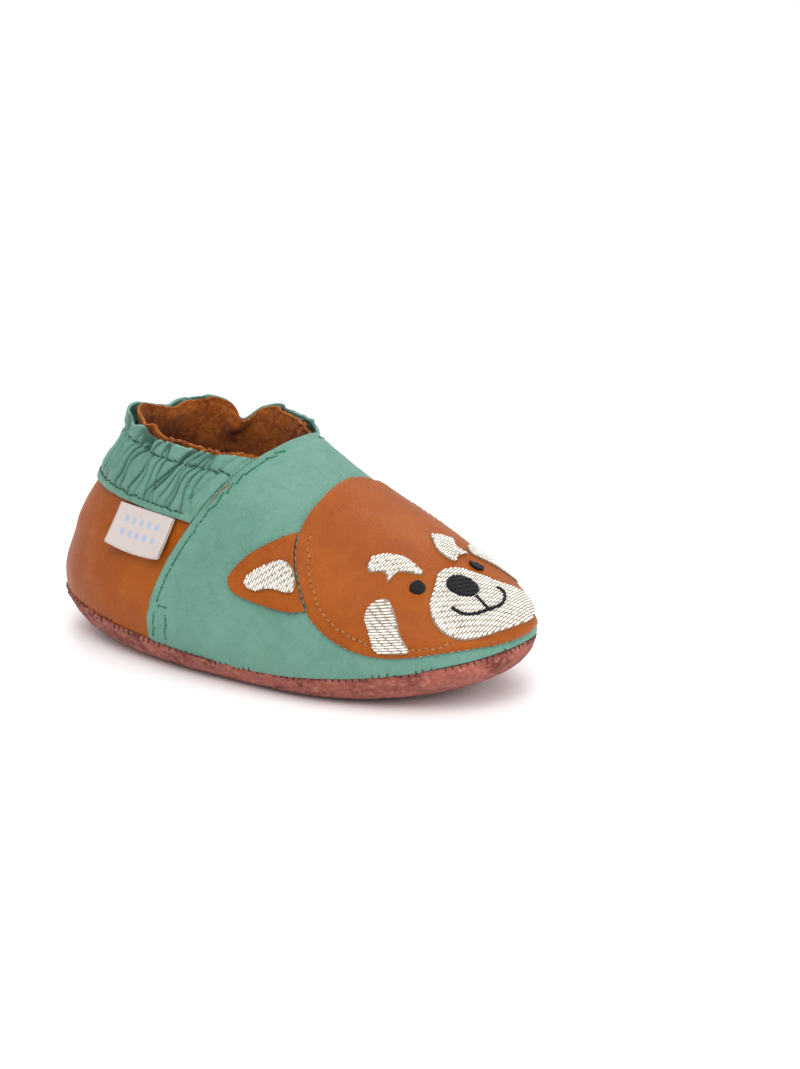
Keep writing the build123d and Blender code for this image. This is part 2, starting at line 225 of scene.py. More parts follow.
# Shader writing: a Value wraps a socket, and arithmetic on it adds Math nodes
class Value:
    def __init__(self, shader, socket):
        self.shader, self.socket = shader, socket

    def maths(self, operation, first, second):
        return self.shader.node("ShaderNodeMath", {"operation": operation}, {0: first, 1: second})

    def alone(self, operation):
        return self.shader.node("ShaderNodeMath", {"operation": operation}, {0: self})

    def __add__(self, other): return self.maths("ADD", self, other)
    def __radd__(self, other): return self.maths("ADD", other, self)
    def __sub__(self, other): return self.maths("SUBTRACT", self, other)
    def __rsub__(self, other): return self.maths("SUBTRACT", other, self)
    def __mul__(self, other): return self.maths("MULTIPLY", self, other)
    def __rmul__(self, other): return self.maths("MULTIPLY", other, self)
    def __abs__(self): return self.alone("ABSOLUTE")


class Shader:
    def __init__(self, name, **fixed):
        self.material = bpy.data.materials.new(name)
        self.material.use_nodes = True
        self.tree = self.material.node_tree
        self.surface = self.tree.nodes["Principled BSDF"]
        for socket, value in fixed.items():
            self.surface.inputs[socket.replace("_", " ")].default_value = value

    def node(self, kind, settings=None, sockets=None, output=0):
        made = self.tree.nodes.new(kind)
        for key, value in (settings or {}).items():
            setattr(made, key, value)
        for key, value in (sockets or {}).items():
            self.join(value, made.inputs[key])
        return Value(self, made.outputs[output])

    def join(self, value, socket):
        if isinstance(value, Value):
            self.tree.links.new(value.socket, socket)
        elif isinstance(value, tuple) and len(value) == 3 and socket.type == "RGBA":
            socket.default_value = (*value, 1)
        else:
            socket.default_value = value

    def coordinates(self, stretch=(1, 1, 1)):
        place = self.node("ShaderNodeTexCoord", output="Object")
        return self.node("ShaderNodeMapping", {}, {"Vector": place, "Scale": stretch})

    def noise(self, size, detail=3, rough=0.5, stretch=(1, 1, 1), twist=0.0):
        return self.node("ShaderNodeTexNoise", {}, {
            "Vector": self.coordinates(stretch), "Scale": 1 / size, "Detail": detail,
            "Roughness": rough, "Distortion": twist})

    def cells(self, size, feature):
        return self.node("ShaderNodeTexVoronoi", {"feature": feature}, {
            "Vector": self.coordinates(), "Scale": 1 / size})

    def attribute(self, name):
        return self.node("ShaderNodeAttribute", {"attribute_name": name}, output="Fac")

    def range(self, value, low, high, toLow=0.0, toHigh=1.0):
        return self.node("ShaderNodeMapRange", {}, {
            "Value": value, "From Min": low, "From Max": high, "To Min": toLow, "To Max": toHigh})

    def mix(self, factor, first, second):
        made = self.tree.nodes.new("ShaderNodeMix")
        made.data_type = "RGBA"
        for socket, value in ((0, factor), (6, first), (7, second)):  # the colour sockets
            self.join(value, made.inputs[socket])
        return Value(self, made.outputs[2])

    def bump(self, height, distance, strength=1.0, under=None):
        sockets = {"Height": height, "Distance": distance, "Strength": strength}
        if under:
            sockets["Normal"] = under
        return self.node("ShaderNodeBump", {}, sockets)

    def finish(self, colour=None, roughness=None, normal=None):
        for name, value in (("Base Color", colour), ("Roughness", roughness), ("Normal", normal)):
            if value is not None:
                self.join(value, self.surface.inputs[name])
        return self.material


def leather(name, colour, shade, light, fold, gloss):
    # Soft fine-grained leather: pores, faint creases, slow changes of colour, and painted shade
    # that darkens the crease lines and the collar's folds towards the fold colour
    s = Shader(name, Specular_IOR_Level=0.2, Sheen_Weight=0.0)
    grain = s.range(s.cells(0.75 * mm, "DISTANCE_TO_EDGE"), 0.0, 0.2)
    fine = s.noise(0.4 * mm, 3, 0.6)
    creases = s.noise(6 * mm, 4, 0.6, twist=1.0)
    lines = s.range(abs(creases - 0.5), 0.0, 0.03)
    patches = s.range(s.noise(15 * mm, 3), 0.35, 0.65)
    hue = s.mix(patches, shade, colour)
    hue = s.mix(s.range(s.noise(4 * mm, 4), 0.45, 0.75, 0.0, 0.3), hue, light)
    hue = s.mix((1 - grain) * 0.3, hue, shade)
    # painted shade: the faint crease lines are darkened a little towards the fold colour
    hue = s.mix((1 - lines) * 0.12, hue, fold)
    # painted shade: the collar's deep folds are darkened towards the fold colour by a point
    # attribute
    hue = s.mix(s.attribute("foldShade"), hue, fold)
    roughness = s.range(fine, 0.3, 0.7, gloss - 0.05, gloss + 0.1)
    puckers = s.noise(1.5 * mm, 3, 0.55, stretch=(1.6, 1, 0.7)) * s.attribute("pucker")
    normal = s.bump(grain, 0.07 * mm, 0.7)
    normal = s.bump(fine, 0.03 * mm, 0.5, normal)
    normal = s.bump(puckers, 0.9 * mm, 0.8, normal)
    normal = s.bump(lines, 0.08 * mm, 0.35, normal)
    return s.finish(hue, roughness, normal)


def suede(name, colour, shade, light):
    s = Shader(name, Specular_IOR_Level=0.05, Sheen_Weight=0.08, Sheen_Roughness=0.6)
    nap = s.noise(0.28 * mm, 4, 0.7)
    clumps = s.noise(1.3 * mm, 4, 0.65)
    brushed = s.noise(9 * mm, 3, 0.5, twist=0.8)
    hue = s.mix(s.range(brushed, 0.35, 0.65), shade, colour)
    hue = s.mix(s.range(clumps, 0.45, 0.7, 0.0, 0.6), hue, light)
    hue = s.mix(s.range(nap, 0.3, 0.6, 0.5, 0.0), hue, shade)
    normal = s.bump(nap, 0.14 * mm, 0.8)
    normal = s.bump(clumps, 0.25 * mm, 0.6, normal)
    return s.finish(hue, 0.95, normal)


def threadFinish(name, colour, shade, gloss, sheen=0.15):
    s = Shader(name, Specular_IOR_Level=0.3, Sheen_Weight=sheen)
    fibres = s.noise(0.16 * mm, 2, 0.6, stretch=(1, 1, 2.5))
    uneven = s.noise(1.1 * mm, 2)
    hue = s.mix(s.range(uneven, 0.3, 0.7), shade, colour)
    hue = s.mix(s.range(fibres, 0.35, 0.65, 0.3, 0.0), hue, shade)
    return s.finish(hue, gloss, s.bump(fibres, 0.05 * mm, 0.8))


def webbing(name, colour, shade):
    s = Shader(name)
    ribs = s.node("ShaderNodeTexWave", {"bands_direction": "Z"}, {
        "Vector": s.coordinates(), "Scale": 1 / (1.2 * mm) / 3})
    hue = s.mix(ribs, shade, colour)
    return s.finish(hue, 0.8, s.bump(ribs, 0.1 * mm))


def ribbon(name, ground, figure):
    # Woven ribbon with two rows of plain dots on its front half; the UV runs along the ribbon
    s = Shader(name, Sheen_Weight=0.25)
    uv = s.node("ShaderNodeUVMap")
    parts = s.tree.nodes.new("ShaderNodeSeparateXYZ")
    s.join(uv, parts.inputs[0])
    across, along = Value(s, parts.outputs[0]), Value(s, parts.outputs[1])
    weave = ((along * 520).alone("SINE") + (across * 700).alone("SINE")) * 0.5
    column = (across * 7).alone("FRACT") - 0.5
    row = (along * 6.5).alone("FRACT") - 0.5
    reach = (column * column + row * row).alone("SQRT")
    dots = s.range(reach, 0.22, 0.3, 1.0, 0.0)
    low = along.maths("GREATER_THAN", along, 0.62)
    high = along.maths("LESS_THAN", along, 0.92)
    inside = across.maths("LESS_THAN", abs(across - 0.5), 0.36)
    hue = s.mix(dots * low * high * inside * 0.75, ground, figure)
    hue = s.mix(s.range(s.noise(2 * mm, 3), 0.4, 0.7, 0.0, 0.2), hue, (0.62, 0.5, 0.45))
    return s.finish(hue, 0.6, s.bump(weave, 0.05 * mm, 0.5))


# The fourth colour of each leather is a painted shade colour for its creases and folds
greenLeather = leather("greenLeather", (0.135, 0.285, 0.218), (0.108, 0.248, 0.188),
                       (0.18, 0.345, 0.28), (0.010, 0.045, 0.034), 0.42)
tanLeather = leather("tanLeather", (0.335, 0.076, 0.002), (0.275, 0.056, 0.0015),
                     (0.40, 0.108, 0.007), (0.07, 0.011, 0.001), 0.42)
liningSuede = suede("liningSuede", (0.36, 0.095, 0.012), (0.17, 0.034, 0.004), (0.54, 0.20, 0.04))
soleSuede = suede("soleSuede", (0.38, 0.105, 0.076), (0.15, 0.030, 0.022), (0.62, 0.26, 0.205))
insoleCloth = suede("insoleCloth", (0.26, 0.11, 0.05), (0.18, 0.07, 0.03), (0.36, 0.18, 0.09))
whiteThread = threadFinish("whiteThread", (0.86, 0.85, 0.79), (0.70, 0.68, 0.61), 0.5)
# The padding under white embroidery is a dull brown: painted shade in the gaps between stitches,
# partly the tan leather showing through
underlayGapShade = threadFinish("underlayGapShade", (0.36, 0.29, 0.22), (0.22, 0.15, 0.10), 0.8)
blackThread = threadFinish("blackThread", (0.006, 0.006, 0.010), (0.002, 0.002, 0.003), 0.5,
                           sheen=0.0)
greenThread = threadFinish("greenThread", (0.008, 0.22, 0.12), (0.003, 0.09, 0.05), 0.6)
darkGreenThread = threadFinish("darkGreenThread", (0.004, 0.085, 0.05), (0.002, 0.04, 0.025), 0.6)
brownThread = threadFinish("brownThread", (0.03, 0.016, 0.012), (0.012, 0.007, 0.005), 0.7)
tanThread = threadFinish("tanThread", (0.42, 0.19, 0.065), (0.25, 0.10, 0.03), 0.6)
greyThread = threadFinish("greyThread", (0.32, 0.33, 0.28), (0.12, 0.14, 0.12), 0.7)
# Near-black marks at the needle holes: painted shade inside the holes
needleHoleShade = threadFinish("needleHoleShade", (0.010, 0.008, 0.006), (0.003, 0.003, 0.002), 0.9,
                          sheen=0.0)
elasticWeb = webbing("elasticWeb", (0.75, 0.74, 0.70), (0.5, 0.49, 0.46))
labelRibbon = ribbon("labelRibbon", (0.56, 0.48, 0.45), (0.24, 0.40, 0.62))
print("finishes made")

# Camera, light and floor
studio = {"world": 0.6, "floor": 3, "lamps": {
    "key": ("AREA", (0.25, -0.55, 0.75), (0, 0, 0.03), 2.3, {"size": 0.45}),
    "sky": ("SUN", (0.25, -0.45, 0.85), (0, 0, 0), 1.4, {"angle": math.radians(70)}),
    "back": ("AREA", (-0.35, 0.5, 0.6), (0, 0, 0.03), 3, {"size": 0.5}),
    "side": ("AREA", (0.7, 0.1, 0.35), (0, 0, 0.03), 1.6, {"size": 0.35}),
}}
view = {"azimuth": 34.5, "elevation": 17.5, "distance": 1.0, "lens": 134.4,
        "target": (0, 0, 0.025), "shift": (0.0935, 0.022)}


def addCamera():
    azimuth, rise = math.radians(view["azimuth"]), math.radians(view["elevation"])
    back = Vector((math.sin(azimuth) * math.cos(rise), -math.cos(azimuth) * math.cos(rise),
                   math.sin(rise)))
    data = bpy.data.cameras.new("camera")
    data.lens, data.sensor_width = view["lens"], 36
    data.shift_x, data.shift_y = view["shift"]
    data.clip_start = 0.01
    camera = bpy.data.objects.new("camera", data)
    bpy.context.scene.collection.objects.link(camera)
    camera.location = Vector(view["target"]) + back * view["distance"]
    camera.rotation_euler = back.to_track_quat("Z", "Y").to_euler()
    bpy.context.scene.camera = camera


def addLamp(name, kind, place, aim, power, softness):
    data = bpy.data.lights.new(name, kind)
    data.energy = power
    for key, value in softness.items():
        setattr(data, key, value)
    lamp = bpy.data.objects.new(name, data)
    bpy.context.scene.collection.objects.link(lamp)
    lamp.location = place
    lamp.rotation_euler = (Vector(place) - Vector(aim)).to_track_quat("Z", "Y").to_euler()


def addStudio():
    world = bpy.data.worlds.new("studio")
    world.use_nodes = True
    background = world.node_tree.nodes["Background"]
    background.inputs[0].default_value = (1, 1, 1, 1)
    background.inputs[1].default_value = studio["world"]
    bpy.context.scene.world = world
    bpy.context.scene.view_settings.view_transform = "Standard"  # paper white stays white
    for name, settings in studio["lamps"].items():
        addLamp(name, *settings)
    s, half = Shader("floorPaper"), studio["floor"]
    paper = s.finish(s.mix(s.noise(0.3, 2), (0.93, 0.93, 0.93), (0.95, 0.95, 0.95)), 0.9)
    corners = [(-half, -half, 0), (half, -half, 0), (half, half, 0), (-half, half, 0)]
    meshObject("floor", corners, [(0, 1, 2, 3)], paper)


addCamera()
addStudio()
print("studio made")

# Stitches: a Geometry Nodes tree puts one grain-shaped stitch on each point
stitchLook = {"width": 0.5 * mm, "height": 0.4 * mm, "unevenness": 0.12, "longest": 1.08, "seed": 4}


def stitchTree():
    tree = bpy.data.node_groups.new("stitches", "GeometryNodeTree")
    face = tree.interface
    face.new_socket("Geometry", in_out="INPUT", socket_type="NodeSocketGeometry")
    for name in ("Width", "Height", "Unevenness"):
        socket = face.new_socket(name, in_out="INPUT", socket_type="NodeSocketFloat")
        socket.default_value = stitchLook[name.lower()]
    seed = face.new_socket("Seed", in_out="INPUT", socket_type="NodeSocketInt")
    seed.default_value = stitchLook["seed"]
    face.new_socket("Material", in_out="INPUT", socket_type="NodeSocketMaterial")
    face.new_socket("Geometry", in_out="OUTPUT", socket_type="NodeSocketGeometry")
    add, link = tree.nodes.new, tree.links.new
    given, result = add("NodeGroupInput"), add("NodeGroupOutput")
    grain = add("GeometryNodeMeshUVSphere")
    grain.inputs["Segments"].default_value, grain.inputs["Rings"].default_value = 8, 6
    grain.inputs["Radius"].default_value = 0.5
    fields = {}
    for name, kind in (("along", "FLOAT_VECTOR"), ("up", "FLOAT_VECTOR"), ("size", "FLOAT")):
        fields[name] = add("GeometryNodeInputNamedAttribute")
        fields[name].data_type = kind
        fields[name].inputs["Name"].default_value = name
    turn = add("FunctionNodeAxesToRotation")
    turn.primary_axis, turn.secondary_axis = "X", "Z"
    link(fields["along"].outputs[0], turn.inputs[0])
    link(fields["up"].outputs[0], turn.inputs[1])
    uneven = add("FunctionNodeRandomValue")
    uneven.data_type = "FLOAT"
    spread = add("ShaderNodeMath")
    spread.operation = "SUBTRACT"
    spread.inputs[0].default_value = 1
    link(given.outputs["Unevenness"], spread.inputs[1])
    link(spread.outputs[0], uneven.inputs[2])
    uneven.inputs[3].default_value = stitchLook["longest"]
    link(given.outputs["Seed"], uneven.inputs["Seed"])
    size = add("ShaderNodeCombineXYZ")
    link(fields["size"].outputs[0], size.inputs[0])
    link(given.outputs["Width"], size.inputs[1])
    link(given.outputs["Height"], size.inputs[2])
    scaled = add("ShaderNodeVectorMath")
    scaled.operation = "SCALE"
    link(size.outputs[0], scaled.inputs[0])
    link(uneven.outputs[1], scaled.inputs["Scale"])
    place = add("GeometryNodeInstanceOnPoints")
    points = add("GeometryNodeMeshToPoints")
    real, finish = add("GeometryNodeRealizeInstances"), add("GeometryNodeSetMaterial")
    smooth = add("GeometryNodeSetShadeSmooth")
    link(given.outputs["Geometry"], points.inputs["Mesh"])
    link(points.outputs[0], place.inputs["Points"])
    link(grain.outputs["Mesh"], place.inputs["Instance"])
    link(turn.outputs[0], place.inputs["Rotation"])
    link(scaled.outputs[0], place.inputs["Scale"])
    link(place.outputs[0], real.inputs[0])
    link(real.outputs[0], smooth.inputs[0])
    link(smooth.outputs[0], finish.inputs["Geometry"])
    link(given.outputs["Material"], finish.inputs["Material"])
    link(finish.outputs[0], result.inputs[0])
    return tree


stitchNodes = stitchTree()


def stitchPiece(name, stitches, width, height, material, seed=stitchLook["seed"]):
    piece = meshObject(name, [s[0] for s in stitches], [], material)
    for index, (key, kind) in enumerate(
        (("along", "FLOAT_VECTOR"), ("up", "FLOAT_VECTOR"), ("size", "FLOAT")), start=1
    ):
        data = piece.data.attributes.new(key, kind, "POINT").data
        if kind == "FLOAT":
            data.foreach_set("value", [s[index] for s in stitches])
        else:
            data.foreach_set("vector", [c for s in stitches for c in s[index]])
    modifier = piece.modifiers.new("stitches", "NODES")
    modifier.node_group = stitchNodes
    inputs = {item.name: item.identifier for item in stitchNodes.interface.items_tree
              if item.in_out == "INPUT"}
    modifier[inputs["Width"]], modifier[inputs["Height"]] = width, height
    modifier[inputs["Unevenness"]] = stitchLook["unevenness"]
    modifier[inputs["Seed"]] = seed
    modifier[inputs["Material"]] = material
    return frozen(piece)


# Place, direction, up and length of each bar of a frame's stitch row
def cadStitches(name):
    shape = bmesh.new()
    shape.from_mesh(nodes[name].data)
    bmesh.ops.remove_doubles(shape, verts=shape.verts, dist=0.002 * mm)
    found, seen = [], set()
    for first in shape.verts:
        if first in seen:
            continue
        group, stack = [], [first]
        seen.add(first)
        while stack:
            vertex = stack.pop()
            group.append(vertex)
            for edge in vertex.link_edges:
                other = edge.other_vert(vertex)
                if other not in seen:
                    seen.add(other)
                    stack.append(other)
        centre = sum((v.co for v in group), Vector()) / len(group)
        corner = group[0]
        sides = sorted(
            {tuple(round(c, 9) for c in e.other_vert(corner).co - corner.co)
             for e in corner.link_edges},
            key=lambda side: Vector(side).length,
        )
        square = [Vector(side) for side in sides]
        up = square[0].normalized()  # the bar's shortest side
        along = max((s for s in square[1:] if abs(s.normalized().dot(up)) < 0.05),
                    key=lambda s: s.length if s.length < sewing["longest"] else 0)
        outward = centre - Vector(sewing["middle"])
        up = up if up.dot(outward) > 0 else -up
        found.append((centre, along.normalized(), up, along.length))
    shape.free()
    return found


# Drops stitches onto a finished surface
def settled(stitches, tree, lift):
    placed = []
    for place, along, up, size in stitches:
        hit = tree.ray_cast(place + up * sewing["above"], -up, sewing["search"])
        if hit[0] is None:
            placed.append((place, along, up, size))
            continue
        normal = hit[1] if hit[1].dot(up) > 0 else -hit[1]
        along = (along - normal * along.dot(normal)).normalized()
        placed.append((hit[0] + normal * lift, along, normal, size))
    return placed


def rideAs(piece, body, slot, *replaced):
    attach(piece, body)
    if replaced:
        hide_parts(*replaced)
    return piece


# Sole: one sheet of suede curled up at its edge
outsole = {"spokes": 300, "rings": 70, "thickness": 1.5 * mm, "wave": 0.18 * mm}


def makeOutsole():
    grid = fanGrid(searchTree("outsole"), (0, 0, 0.03), (0, 0, -1), (1, 0, 0),
                   outsole["spokes"], outsole["rings"], widest=118)

    def shape(point, share, turn):
        if share < 0.75:
            return 0
        ripple = noise.noise(point * 160) + 0.5 * noise.noise(point * 420)
        return outsole["wave"] * ripple * smoothStep(share, 0.75, 0.95)

    return fanPiece("outsoleSuede", grid, shape, outsole["thickness"], soleSuede)


outsoleSuede = rideAs(makeOutsole(), "upper", "sole_suede", "outsole")

# Insole: a soft textile pad
insole = {"spokes": 160, "rings": 30, "thickness": 1.6 * mm}


def makeInsole():
    grid = fanGrid(searchTree("insole"), (0, 0, 0.0022), (0, 0, 1), (1, 0, 0),
                   insole["spokes"], insole["rings"], widest=88)
    return fanPiece("insolePad", grid, lambda point, share, turn:
                    0.12 * mm * noise.noise(point * 90) - 0.12 * mm,
                    insole["thickness"], insoleCloth)


insolePad = rideAs(makeInsole(), "upper", "insole_fleece", "insole")
print("sole made")

# The edges of the face and ears, which pull the leather under them into small puckers
def fanEdge(node, centre, axis, side, spokes):
    return [ray[-1][0] for ray in fanGrid(searchTree(node), centre, axis, side, spokes, 1)]


def earPlace(side):
    sign = -1 if side == "right" else 1
    low, high = (Vector(corner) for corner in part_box("ear_" + side))
    axis = Vector((0, sign, 0.25 if side == "right" else 0.7))
    return (low + high) / 2 - axis.normalized() * 10 * mm - Vector((0.001, 0, 0)), axis


facePlace = ((0.038, -0.004, 0.008), (0.45, -0.08, 0.9))
sewnEdges = fanEdge("face_applique", *facePlace, (1, 0, 0), 200)
for earSide in ("right", "left"):
    sewnEdges += fanEdge("ear_" + earSide, *earPlace(earSide), (1, 0, 0), 90)
edgePlaces = KDTree(len(sewnEdges))
for place, point in enumerate(sewnEdges):
    edgePlaces.insert(point, place)
edgePlaces.balance()


def fromSewnEdge(point):
    return edgePlaces.find(point)[2]


# Vamp: the green leather over the toes and instep
vamp = {"spokes": 420, "rings": 90, "thickness": 0.85 * mm, "soft": 0.25 * mm, "channel": 0.3 * mm,
        "pull": 0.12 * mm, "rowInset": 2.4 * mm, "rowWidth": 0.8 * mm}
upperCentre = (0.026, -0.001, 0.006)
upperAxis = (0.3, 0, 0.95)


def makeVamp():
    grid = fanGrid(searchTree("vamp"), upperCentre, upperAxis, (1, 0, 0),
                   vamp["spokes"], vamp["rings"])
    edges = [ray[-1][0] for ray in grid]

    def shape(point, share, turn):
        edge = edges[int(round(turn * len(edges))) % len(edges)]
        fromEdge = (point - edge).length
        out = vamp["soft"] * noise.noise(point * 75) * smoothStep(fromEdge, 0, 6 * mm)
        out += 0.5 * vamp["soft"] * noise.noise(point * 190 + Vector((3, 1, 7)))
        out -= vamp["pull"] * math.exp(-((fromSewnEdge(point) / (2.2 * mm)) ** 2))
        if edge.x < 0.004 and share > 0.6:  # the sewn row along the rear edge
            groove = math.exp(-((fromEdge - vamp["rowInset"]) / vamp["rowWidth"]) ** 2)
            out -= vamp["channel"] * groove
        return out

    return fanPiece("vampLeather", grid, shape, vamp["thickness"], greenLeather, liningSuede,
                    pucker=lambda point: math.exp(-fromSewnEdge(point) / (2.6 * mm)))


vampLeather = rideAs(makeVamp(), "upper", "green_leather", "vamp")
vampSurface = treeFromObjects(vampLeather)
print("vamp made")

# Vamp lining: seen only inside the opening, so it keeps the frame's plain shape
def makeVampLining():
    grid = fanGrid(searchTree("vamp_lining"), upperCentre, upperAxis, (1, 0, 0), 260, 50)
    return fanPiece("vampLiningSuede", grid, lambda point, share, turn:
                    0.2 * mm * noise.noise(point * 80) - 0.05 * mm, 0.75 * mm, liningSuede)


rideAs(makeVampLining(), "upper", "brown_suede", "vamp_lining")

# Face and ears: tan leather laid on the vamp
applique = {"thickness": 0.75 * mm, "roll": 0.35 * mm, "channel": 0.12 * mm, "rowInset": 2.3 * mm}


def makeApplique(name, node, centre, axis, side, spokes, rings):
    grid = fanGrid(searchTree(node), centre, axis, side, spokes, rings)
    edges = [ray[-1][0] for ray in grid]

    def shape(point, share, turn):
        edge = edges[int(round(turn * len(edges))) % len(edges)]
        fromEdge = (point - edge).length
        lowered = applique["roll"] * (1 - smoothStep(fromEdge, 0, 0.7 * mm))
        groove = math.exp(-((fromEdge - applique["rowInset"]) / (0.6 * mm)) ** 2)
        soft = 0.18 * mm * noise.noise(point * 80) * smoothStep(fromEdge, 0, 5 * mm)
        return soft - lowered - applique["channel"] * groove

    piece = fanPiece(name, grid, shape, applique["thickness"], tanLeather)
    rideAs(piece, "upper", "tan_leather", node)
    return piece, edges


facePiece, faceEdge = makeApplique("faceLeather", "face_applique", *facePlace, (1, 0, 0), 360, 60)
ears = {side: makeApplique("ear" + side.title() + "Leather", "ear_" + side, *earPlace(side),
                           (1, 0, 0), 160, 24) for side in ("right", "left")}
print("face and ears made")

# Collar: the gathered band of leather, its elastic and its lining share one set of folds
collar = {"columns": 460, "rows": 48, "thickness": 0.8 * mm, "puff": 1.0 * mm, "depth": 1.5 * mm,
          "seed": 11, "tuck": 2.6 * mm, "ankle": (-0.022, 0, 0),
          "bundles": [(0.07, 0.04, 5), (0.17, 0.03, 3), (0.28, 0.035, 5), (0.39, 0.03, 4),
                      (0.49, 0.04, 5), (0.60, 0.025, 4), (0.67, 0.02, 4), (0.765, 0.03, 4),
                      (0.865, 0.045, 8), (0.95, 0.02, 2)]}
# Rim waves: place round the collar (0 and 1 at the vamp), width, rise and outward move
rimWaves = [(0.10, 0.04, 0.5, 0.4), (0.19, 0.045, 1.4, 0.9), (0.28, 0.026, -2.6, -2.4),
            (0.36, 0.04, 0.9, 0.8), (0.45, 0.022, -0.9, -1.1), (0.55, 0.05, 1.3, 0.9),
            (0.655, 0.016, 0.9, -1.2), (0.70, 0.022, -2.3, -4.2), (0.765, 0.035, 0.7, 1.3),
            (0.88, 0.03, -0.2, -0.5)]
ankle = Vector(collar["ankle"])


def heightLines(tree):
    # The band's lower and upper edges are straight in the side view: height is base + slope * x
    lines = []
    for sign in (-1, 1):
        found = []
        for step in range(-7, 8):
            angle = math.pi + math.radians(10 * step)
            direction = Vector((math.cos(angle), math.sin(angle), 0))
            inner = next(h * mm for h in range(60, 30, -1)
                         if outerHit(tree, Vector((ankle.x, 0, h * mm)), direction)
                         and outerHit(tree, Vector((ankle.x, 0, h * mm - 2 * mm)), direction))
            outer = inner + sign * 30 * mm
            for _ in range(16):
                half = (inner + outer) / 2
                hit = outerHit(tree, Vector((ankle.x, 0, half)), direction)
                inner, outer = (half, outer) if hit else (inner, half)
            found.append((outerHit(tree, Vector((ankle.x, 0, inner)), direction)[0].x, inner))
        middleX = sum(x for x, _ in found) / len(found)
        middleZ = sum(z for _, z in found) / len(found)
        slope = sum((x - middleX) * (z - middleZ) for x, z in found) / sum(
            (x - middleX) ** 2 for x, _ in found)
        lines.append((middleZ - slope * middleX, slope))
    return lines


def foldList():
    # Folds gather in a few bundles, with smoother leather between them
    random = noise.random
    noise.seed_set(collar["seed"])
    made = []
    for centre, spread, count in collar["bundles"]:
        for index in range(count):
            place = centre + spread * ((index + random()) / count - 0.5) * 2
            lean = (place - centre) * 0.9 + (random() - 0.5) * 0.02
            made.append((place, 0.35 + 0.65 * random(), lean, 0.5 + 0.7 * random()))
    return made


folds = foldList()


def gathers(share, up):
    # Near 1 between the folds, down to about -1 in a deep one
    depth = 0
    for place, strength, lean, width in folds:
        offset = share - place + lean * 1.6 * (up - 0.76) + 0.004 * math.sin(9 * up + 60 * place)
        reach = 0.0032 * width * (1 + 1.5 * abs(up - 0.76) + 1.3 * smoothStep(up, 0.8, 1))
        if abs(offset) < 4 * reach:
            depth += strength * math.exp(-((offset / reach) ** 2))
    return 0.8 + 0.2 * math.sin(share * 41 + 3 * up) - 1.9 * math.tanh(depth)


def rimWave(share):
    rise = outwards = 0
    for place, width, up, out in rimWaves:
        strength = math.exp(-(((share - place) / width) ** 2))
        rise, outwards = rise + up * mm * strength, outwards + out * mm * strength
    return rise, outwards


# outward(point, normal, share, up, past) gives a point of the finished band
def collarBand(name, node, outerNodes, thickness, material, outward, columns, rows, shadeFolds=False):
    own, outer = searchTree(node), searchTree(node, *outerNodes)
    (lowAt, lowSlope), (highAt, highSlope) = heightLines(own)
    finished, creases = [], []
    for row in range(rows + 1):
        up = row / rows

        def height(x):
            bottom, top = lowAt + lowSlope * x, highAt + highSlope * x
            return bottom + 0.0003 + (top - bottom - 0.0006) * up

        start, end = (bandEnd(own, ankle, height, sign) for sign in (-1, 1))
        extra = collar["tuck"] / 0.02
        line = []
        for column in range(columns + 1):
            share = column / columns
            angle = start - extra + (end - start + 2 * extra) * share
            within = min(max(angle, start + 0.004), end - 0.004)
            hit = bandHit(outer, ankle, angle, height) or bandHit(own, ankle, within, height)
            past = max(0, start - angle, angle - end) / extra
            line.append(outward(*hit, share, up, past))
            # painted shade: how far the leather is darkened in the deep folds
            deep = smoothStep(-gathers(share, up), -0.35, 0.9) * smoothStep(up, 0.03, 0.2)
            creases.append(0.75 * deep * nearEnd(share))
        finished.append(line)
    return bandPiece(name, finished, thickness, material, creases if shadeFolds else None)


def tucked(past):
    return 1.15 * mm * smoothStep(past, -0.02, 0.25)


def nearEnd(share):
    return smoothStep(min(share, 1 - share), 0.02, 0.075)


def outerCollar(point, normal, share, up, past):
    held = math.exp(-((up - 0.76) / 0.05) ** 2) + math.exp(-((up - 0.11) / 0.05) ** 2)
    body = smoothStep(up, 0.05, 0.35)
    rise, outwards = rimWave(share)
    fold = gathers(share, up)
    out = collar["puff"] * (1 - 0.75 * min(1, held)) * smoothStep(up, 0.0, 0.12)
    free = 1 - 0.45 * smoothStep(up, 0.84, 1.0)
    out += collar["depth"] * 0.5 * fold * (0.2 + 0.8 * body) * (1 - 0.3 * held) * free
    out += outwards * smoothStep(up, 0.45, 1.0)
    out += 0.25 * mm * noise.noise(point * 170) * body
    lip = 0.5 * mm * smoothStep(up, 0.86, 1.0)
    edge = 0.25 * mm * noise.noise(point * 260) * (
        smoothStep(up, 0.93, 1) + 1 - smoothStep(up, 0, 0.07))
    lift = (rise + 0.1 * mm * fold) * smoothStep(up, 0.6, 1.0) * nearEnd(share) + edge
    return point + normal * ((out + lip) * nearEnd(share) - tucked(past)) + Vector((0, 0, lift))


def liningShape(point, normal, share, up, past):
    rise, outwards = rimWave(share)
    rolled = smoothStep(up, 0.8, 1.0)
    out = 0.3 * collar["depth"] * gathers(share, 0.9) * (0.3 + 0.7 * rolled)
    out += outwards * smoothStep(up, 0.2, 1.0) + 0.9 * mm * rolled - 0.4 * mm
    out += 0.5 * mm * noise.noise(point * 110)
    lift = (rise + 0.1 * mm * gathers(share, 1)) * smoothStep(up, 0.4, 1.0) + 0.35 * mm * rolled
    inner = 0.5 * mm * smoothStep(past, -0.02, 0.3)
    return point + normal * (out * nearEnd(share) - inner) + Vector((0, 0, lift * nearEnd(share)))


def elasticShape(point, normal, share, up, past):
    return point + normal * (0.3 * collar["depth"] * (gathers(share, 0.8) - 1) * nearEnd(share))


